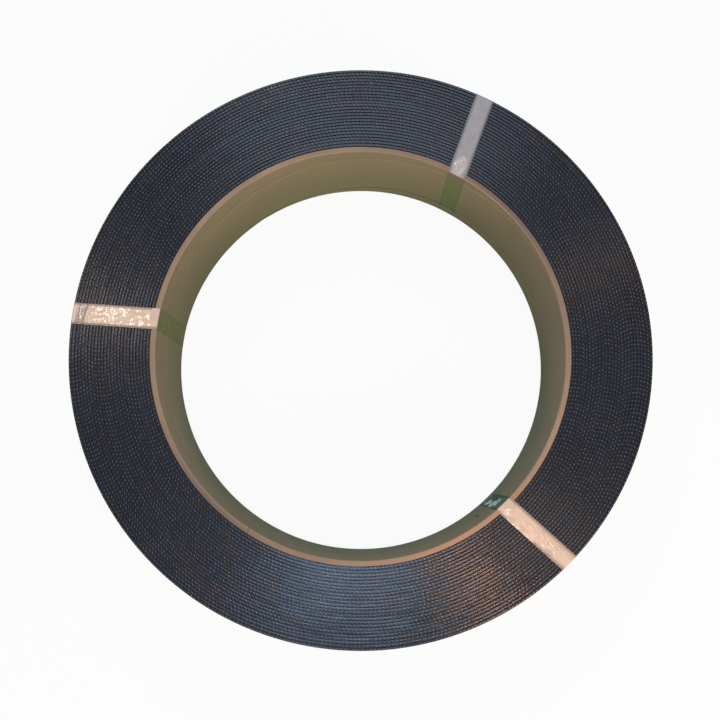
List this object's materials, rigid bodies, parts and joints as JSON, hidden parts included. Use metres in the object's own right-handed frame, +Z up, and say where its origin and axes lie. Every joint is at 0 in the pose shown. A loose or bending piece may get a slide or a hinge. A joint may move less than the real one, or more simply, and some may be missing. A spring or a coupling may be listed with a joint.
{
  "type": "plastic strapping coil",
  "caption": "Coil of embossed dark polypropylene strapping wound on a wide kraft-paper tube and held by loops of clear tape.",
  "frame": {"origin": "on the coil's axis, in the plane of the tape undersides that the coil rests on", "axes": "+Z up along the axis of the bore; +X and +Y lie in the plane of the end, and the three tape loops are at 63, 171.5 and 314 degrees from +X towards +Y"},
  "size_m": [0.5764, 0.5764, 0.1502],
  "materials": {
    "kraft_paper": "matt spiral-wound kraft paper",
    "strap": "satin embossed polypropylene, nearly black with a blue cast",
    "clear_tape": "glossy clear film, slightly wrinkled"
  },
  "bodies": {
    "root": {"core_tube": "kraft_paper", "strap_winding": "strap", "tape_loop_1": "clear_tape", "tape_loop_2": "clear_tape", "tape_loop_3": "clear_tape"}
  },
  "joints": []
}
